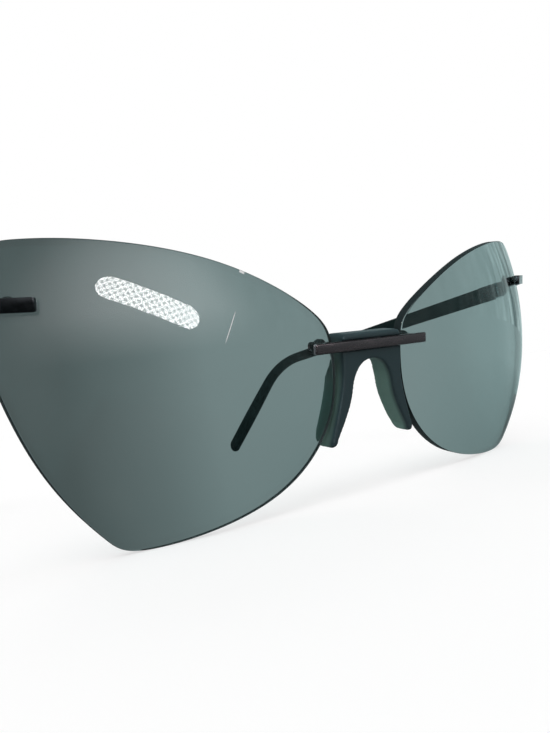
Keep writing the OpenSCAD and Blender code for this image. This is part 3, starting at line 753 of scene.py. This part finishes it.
print("the temple bends from", round(BEND_START, 1), "to", round(BEND_END, 1), "mm")

# %% [markdown]
# The section is a small rectangle with rounded corners. The mesh starts from
# one such ring of edges, which is extruded from station to station. A sweep
# like this keeps its corners even round the bend, where a bent box would not.

# %% Temple sweep


def rounded_ring(bm, round_x, steps):
    """A unit square in X and Z with round corners, as a ring of edges."""
    bmesh.ops.create_circle(bm, segments=4, radius=math.sqrt(0.5))
    bmesh.ops.rotate(
        bm, verts=bm.verts, cent=(0, 0, 0), matrix=Matrix.Rotation(math.radians(45), 3, "Z")
    )
    bmesh.ops.rotate(
        bm, verts=bm.verts, cent=(0, 0, 0), matrix=Matrix.Rotation(math.radians(90), 3, "X")
    )
    bmesh.ops.bevel(
        bm, geom=list(bm.verts), offset=round_x, offset_type="OFFSET", affect="VERTICES",
        segments=steps, profile=0.5, material=-1,
    )
    return list(bm.edges)


def sweep(stations, round_x=0.3, steps=5):
    bm = bmesh.new()
    ring = rounded_ring(bm, round_x, steps)
    last = station(*stations[0])
    bmesh.ops.transform(bm, matrix=last, verts=bm.verts)
    bmesh.ops.contextual_create(bm, geom=ring)
    for s in stations[1:]:
        grown = bmesh.ops.extrude_edge_only(bm, edges=ring)["geom"]
        verts = [g for g in grown if isinstance(g, bmesh.types.BMVert)]
        place = station(*s)
        bmesh.ops.transform(bm, matrix=place @ last.inverted(), verts=verts)
        last = place
        new = set(verts)
        ring = [
            g for g in grown if isinstance(g, bmesh.types.BMEdge)
            and g.verts[0] in new and g.verts[1] in new
        ]
    bmesh.ops.contextual_create(bm, geom=ring)
    return bm


def arm_stations():
    run = SLEEVE_START - ARM_START
    for i in range(25):
        s = ARM_START + run * i / 24
        yield s, ARM_THICK, temple_high(s)


def tip_stations():
    end_r = TIP_HIGH / 2
    run = TEMPLE_LONG - end_r - SLEEVE_START
    for near, grow in ((0.0, 0.80), (0.08, 0.92), (0.2, 0.98)):
        s = SLEEVE_START + 0.05 + near
        yield s, sleeve_thick(s) * grow, temple_high(s) * grow
    for i in range(1, 49):
        s = SLEEVE_START + 0.3 + (run - 0.3) * i / 48
        yield s, sleeve_thick(s), temple_high(s)
    for degrees in (12, 24, 36, 48, 58, 67, 75, 81, 86):
        a = math.radians(degrees)
        s = TEMPLE_LONG - end_r + end_r * math.sin(a)
        yield s, TIP_THICK * math.cos(a) ** 0.5, TIP_HIGH * math.cos(a)


for side, flip in (("left", Matrix.Identity(4)), ("right", MIRROR)):
    place = TO_TABLE @ flip @ AT_HINGE
    hand_over(
        sweep(list(arm_stations())), f"arm_{side}", f"{side}_temple",
        dark_coat, [f"{side}_temple_arm"], place=place,
    )
    hand_over(
        sweep(list(tip_stations()), 0.35), f"tip_{side}", f"{side}_temple",
        tip_rubber, [f"{side}_temple_tip"], place=place,
    )

# %% [markdown]
# The studio has a white backdrop behind the pair and a dim room behind the
# camera. The camera sees pure white. The lenses and the metal must not mirror
# white from every side, or the dark rims and bars would turn grey, so a ray
# that bounced off a gloss sees white only toward the backdrop and above. A ray
# that passed a lens sees the backdrop too, which falls off on the left side.
# One helper finds this level for any direction, for the sky and the floor.
# The room has soft upright folds like drapes, a dark ceiling, a cool tone and
# one narrow window that shines on the rounded ends of the bars.

# %% Levels of the room
AMBIENT = 0.45
CEILING = 0.04
CEILING_FROM, CEILING_FULL = 0.35, 0.6
DRAPE_SCALE = (16, 16, 5)
DRAPE_TURN = 0.35
DRAPE_DARK, DRAPE_LIGHT = 0.35, 1.8
GROUND_POINT = TO_TABLE @ CAMERA_AT
PASSED = (
    (0, 1.0), (0.585, 0.90), (0.598, 0.80), (0.607, 0.64), (0.616, 0.61),
    (0.639, 0.57), (0.667, 0.52), (0.682, 0.36), (0.703, 0.21), (0.718, 0.20),
    (0.73, 1.0), (1, 1.0),
)
MIRRORED = (
    (0, 0.06), (0.15, 0.03), (0.20, 0.05), (0.32, 0.18), (0.44, 0.18), (0.47, 0.30),
    (0.50, 0.60), (0.54, 0.65), (0.60, 0.65), (0.70, 0.30), (0.86, 0.20), (1, 0.06),
)
WINDOW = ((0, 0.0), (0.02, 0.0), (0.035, 3.5), (0.085, 3.5), (0.10, 0.0), (1, 0.0))
ROOM_TONE = (0.78, 1.0, 1.0)


def round_about(nodes, links, direction, levels):
    """Brightness of the room by compass direction, from a list of levels."""
    fan = nodes.new("ShaderNodeTexGradient")
    fan.gradient_type = "RADIAL"
    links.new(direction, fan.inputs["Vector"])
    ramp = nodes.new("ShaderNodeValToRGB")
    stops = ramp.color_ramp.elements
    for stop, (position, level) in zip(stops, (levels[0], levels[-1])):
        stop.position = position
        stop.color = (level, level, level, 1)
    for position, level in levels[1:-1]:
        stops.new(position).color = (level, level, level, 1)
    links.new(fan.outputs["Fac"], ramp.inputs["Fac"])
    return ramp.outputs["Color"]


def mirrored_room(nodes, links, direction):
    """Brightness that a gloss mirrors: the room all round, and its ceiling."""
    around = number(
        nodes, "ADD", round_about(nodes, links, direction, MIRRORED),
        round_about(nodes, links, direction, WINDOW),
    )
    split = nodes.new("ShaderNodeSeparateXYZ")
    links.new(direction, split.inputs["Vector"])
    up = spread(nodes, links, split.outputs["Z"], 0.0, 1.0, CEILING_FROM, CEILING_FULL)
    mix = nodes.new("ShaderNodeMix")
    links.new(up, mix.inputs["Factor"])
    links.new(around, mix.inputs["A"])
    mix.inputs["B"].default_value = CEILING
    folds = nodes.new("ShaderNodeTexNoise")
    folds.inputs["Scale"].default_value = 1.0
    folds.inputs["Detail"].default_value = 2.0
    stretch = nodes.new("ShaderNodeMapping")
    stretch.inputs["Scale"].default_value = DRAPE_SCALE
    stretch.inputs["Rotation"].default_value = (DRAPE_TURN, 0, 0)
    links.new(direction, stretch.inputs["Vector"])
    links.new(stretch.outputs["Vector"], folds.inputs["Vector"])
    drapes = spread(nodes, links, folds.outputs["Fac"], DRAPE_DARK, DRAPE_LIGHT)
    return number(nodes, "MULTIPLY", mix.outputs["Result"], drapes)


def chosen(nodes, links, otherwise, mirrored, passed, seen=1.0):
    """Picks a level by the kind of ray: plain, mirrored, through glass, camera."""
    path = nodes.new("ShaderNodeLightPath")
    level = otherwise
    for kind, value in (
        ("Is Glossy Ray", mirrored), ("Is Transmission Ray", passed), ("Is Camera Ray", seen),
    ):
        mix = nodes.new("ShaderNodeMix")
        links.new(path.outputs[kind], mix.inputs["Factor"])
        for socket, source in (("A", level), ("B", value)):
            if isinstance(source, (int, float)):
                mix.inputs[socket].default_value = source
            else:
                links.new(source, mix.inputs[socket])
        level = mix.outputs["Result"]
    return level


def tone(nodes, links):
    """White for most rays, and a cool tone for what a gloss mirrors."""
    path = nodes.new("ShaderNodeLightPath").outputs
    only_gloss = number(
        nodes, "SUBTRACT", path["Is Glossy Ray"], path["Is Transmission Ray"]
    )
    return blend_colours(nodes, links, only_gloss, (1, 1, 1), ROOM_TONE)


print("levels of the room set")

# %% [markdown]
# The world is what a ray meets when it has missed everything else. Its level is
# picked by the kind of ray, because the camera has to see plain white where a
# lens or a bar has to mirror a darker room.

# %% World
world = bpy.data.worlds.new("studio")
scene.world = world
world.use_nodes = True
nodes, links = world.node_tree.nodes, world.node_tree.links
sky = nodes["Background"]
links.new(tone(nodes, links), sky.inputs["Color"])
direction = nodes.new("ShaderNodeTexCoord").outputs["Generated"]
links.new(
    chosen(
        nodes, links, AMBIENT, mirrored_room(nodes, links, direction),
        round_about(nodes, links, direction, PASSED),
    ),
    sky.inputs["Strength"],
)
print("world made")

# %% [markdown]
# The floor is a wide plane. Its glow and its shaded part add up to white where
# nothing stands in the light, and the shaded part alone carries the shadow.
# Seen through a lens it follows the same falloff as the backdrop, so that no
# horizon shows in the glass. In gloss it mirrors the room, dimmed close to the
# pair as painted shade, so that the lower edges of the bars look dark.

# %% Floor
FLOOR_SHADE = 0.40
FLOOR_GLOW = 0.62
FLOOR_SIZE = 20
PAIR_AT = (0, -0.06, 0)
PAINTED_SHADE_SHARE, PAINTED_SHADE_WITHIN, BRIGHT_FROM = 0.5, 0.08, 0.22
floor_material, nodes, links, shader = tree("floor")
shader.inputs["Roughness"].default_value = 1.0
shader.inputs["Specular IOR Level"].default_value = 0.0
where = nodes.new("ShaderNodeTexCoord")
from_camera = nodes.new("ShaderNodeVectorMath")
from_camera.operation = "SUBTRACT"
links.new(where.outputs["Object"], from_camera.inputs[0])
from_camera.inputs[1].default_value = (GROUND_POINT.x, GROUND_POINT.y, 0)
falloff = round_about(nodes, links, from_camera.outputs["Vector"], PASSED)
from_pair = nodes.new("ShaderNodeVectorMath")
from_pair.operation = "SUBTRACT"
links.new(where.outputs["Object"], from_pair.inputs[0])
from_pair.inputs[1].default_value = PAIR_AT
away = nodes.new("ShaderNodeVectorMath")
away.operation = "LENGTH"
links.new(from_pair.outputs["Vector"], away.inputs[0])
# Painted shade: the mirrored floor is dimmer close to the pair.
mirrored = number(
    nodes, "MULTIPLY", round_about(nodes, links, from_pair.outputs["Vector"], MIRRORED),
    spread(nodes, links, away.outputs["Value"], PAINTED_SHADE_SHARE, 1.0, PAINTED_SHADE_WITHIN, BRIGHT_FROM),
)
shade = chosen(nodes, links, FLOOR_SHADE, 0.0, 0.0, FLOOR_SHADE)
links.new(shade, shader.inputs["Base Color"])
glow = chosen(nodes, links, 0.0, mirrored, falloff, FLOOR_GLOW)
links.new(tone(nodes, links), shader.inputs["Emission Color"])
links.new(glow, shader.inputs["Emission Strength"])
floor_bm = bmesh.new()
bmesh.ops.create_grid(floor_bm, x_segments=1, y_segments=1, size=FLOOR_SIZE)
floor_mesh = bpy.data.meshes.new("floor")
floor_bm.to_mesh(floor_mesh)
floor_bm.free()
floor_mesh.materials.append(floor_material)
floor = bpy.data.objects.new("floor", floor_mesh)
scene.collection.objects.link(floor)
print("floor made")

# %% [markdown]
# Three wide, distant lamps light the pair evenly, so that the floor is equally
# bright all over and the shadow is soft. They are kept out of the mirror
# images, where the room, the backdrop and one ceiling lamp show instead.

# %% Lamps
LAMP_SPREAD = math.radians(40)


def soft_lamp(name, direction, strength):
    data = bpy.data.lights.new(name, "SUN")
    data.angle = LAMP_SPREAD
    data.energy = strength
    lamp = bpy.data.objects.new(name, data)
    scene.collection.objects.link(lamp)
    lamp.rotation_euler = (-Vector(direction)).to_track_quat("-Z", "Y").to_euler()
    lamp.visible_glossy = False
    return lamp


soft_lamp("key_lamp", (-0.5, -0.5, 0.9), 1.1)
soft_lamp("fill_lamp", (0.7, -0.4, 0.7), 0.6)
soft_lamp("back_lamp", (0.1, 0.8, 0.7), 0.5)
print("lamps made")

# %% [markdown]
# The bright capsule on the right lens is the mirror image of a ceiling lamp
# with a dotted white cover. To find where that lamp hangs, the line of sight
# through two places on the lens is mirrored at the front sphere and followed
# half a metre on. The lamp is a glowing plate there, seen in gloss only.

# %% Ceiling lamp
LAMP_FAR = 500.0
GRID = 0.021
COVER_HIGH, COVER_LOW = 20.0, 9.0
CAPSULE_ENDS = ((-49.6, 12.9), (-35.4, 6.3))
CAPSULE_SIDE = (-41.65, 11.41)
RIGHT_SPHERE = Vector((-SPHERE_MID.x, SPHERE_MID.y, SPHERE_MID.z))


def mirrored_at(x, z):
    """Where the line of sight to a place on the right lens goes after it."""
    place = Vector((x, sphere_y(-x, z, SPHERE_R), z))
    out = (place - RIGHT_SPHERE).normalized()
    sight = (place - CAMERA_AT).normalized()
    return place + LAMP_FAR * (sight - 2 * sight.dot(out) * out)


first, last = (mirrored_at(*end) for end in CAPSULE_ENDS)
middle = (first + last) / 2
along = (last - first).normalized()
across = mirrored_at(*CAPSULE_SIDE) - middle
across = across - across.dot(along) * along
lamp_half = (last - first).length / 2
lamp_round = across.length
across.normalize()
facing = along.cross(across)
if facing.dot(RIGHT_SPHERE - middle) < 0:
    facing = -facing
    across = -across
LAMP_FRAME = Matrix((along, across, facing)).transposed().to_4x4()
LAMP_FRAME.translation = middle
print("the lamp is", round(2 * (lamp_half + lamp_round)), "by", round(2 * lamp_round), "mm")

# %% [markdown]
# The lamp itself is a flat capsule whose cover has staggered dots. A wide plate
# close behind it is the lit ceiling round the lamp, brightest in the middle.

# %% Ceiling lamp plates


def glowing_plate(name, material, long, wide, lift=0.0):
    """A flat capsule of given half length and radius in the lamp's frame."""
    bm = bmesh.new()
    bmesh.ops.create_circle(bm, cap_ends=True, segments=64, radius=wide)
    for v in bm.verts:
        v.co.x += long if v.co.x > 0 else -long
        v.co.z = lift
    bmesh.ops.transform(bm, matrix=TO_TABLE @ LAMP_FRAME, verts=bm.verts)
    mesh = bpy.data.meshes.new(name)
    bm.to_mesh(mesh)
    bm.free()
    mesh.materials.append(material)
    plate = bpy.data.objects.new(name, mesh)
    scene.collection.objects.link(plate)
    for view in ("camera", "diffuse", "transmission", "shadow"):
        setattr(plate, f"visible_{view}", False)
    return plate


def lamp_cover():
    """White glow with staggered grey dots, laid along the lamp's own axes."""
    material = bpy.data.materials.new("dotted_cover")
    material.use_nodes = True
    nodes, links = material.node_tree.nodes, material.node_tree.links
    nodes.remove(nodes["Principled BSDF"])
    where = nodes.new("ShaderNodeTexCoord")
    turned = (TO_TABLE @ LAMP_FRAME).to_3x3()
    waves = []
    for axis in (turned.col[0], turned.col[1]):
        dot = nodes.new("ShaderNodeVectorMath")
        dot.operation = "DOT_PRODUCT"
        links.new(where.outputs["Object"], dot.inputs[0])
        dot.inputs[1].default_value = axis.normalized() * (math.tau / GRID)
        waves.append(number(nodes, "SINE", dot.outputs["Value"]))
    dots = spread(
        nodes, links, number(nodes, "MULTIPLY", *waves), COVER_HIGH, COVER_LOW, 0.0, 0.5
    )
    glow = nodes.new("ShaderNodeEmission")
    links.new(dots, glow.inputs["Strength"])
    links.new(glow.outputs["Emission"], nodes["Material Output"].inputs["Surface"])
    return material


def soft_glow(reach):
    """Light that fades out round the lamp, over whatever lies behind it."""
    material = bpy.data.materials.new("lit_ceiling")
    material.use_nodes = True
    nodes, links = material.node_tree.nodes, material.node_tree.links
    nodes.remove(nodes["Principled BSDF"])
    where = nodes.new("ShaderNodeTexCoord")
    away = nodes.new("ShaderNodeVectorMath")
    away.operation = "DISTANCE"
    links.new(where.outputs["Object"], away.inputs[0])
    away.inputs[1].default_value = TO_TABLE @ middle
    fade = nodes.new("ShaderNodeMapRange")
    fade.interpolation_type = "SMOOTHERSTEP"
    fade.inputs["From Max"].default_value = reach
    fade.inputs["To Min"].default_value = GLOW
    fade.inputs["To Max"].default_value = 0.0
    links.new(away.outputs["Value"], fade.inputs["Value"])
    split = nodes.new("ShaderNodeSeparateXYZ")
    links.new(where.outputs["Object"], split.inputs["Vector"])
    rise = spread(nodes, links, split.outputs["Z"], 0.0, 1.0, 0.0, GLOW_RISE)
    glow = nodes.new("ShaderNodeEmission")
    links.new(number(nodes, "MULTIPLY", fade.outputs["Result"], rise), glow.inputs["Strength"])
    clear = nodes.new("ShaderNodeBsdfTransparent")
    both = nodes.new("ShaderNodeAddShader")
    links.new(glow.outputs["Emission"], both.inputs[0])
    links.new(clear.outputs["BSDF"], both.inputs[1])
    links.new(both.outputs["Shader"], nodes["Material Output"].inputs["Surface"])
    return material


GLOW = 2.7
GLOW_RISE = 0.12
GLOW_REACH = 3.4
glowing_plate("ceiling_lamp", lamp_cover(), lamp_half - lamp_round, lamp_round)
reach = GLOW_REACH * lamp_half
glowing_plate("lit_ceiling", soft_glow(reach * MM), 1.0, reach, lift=-4)
print("ceiling lamp made")
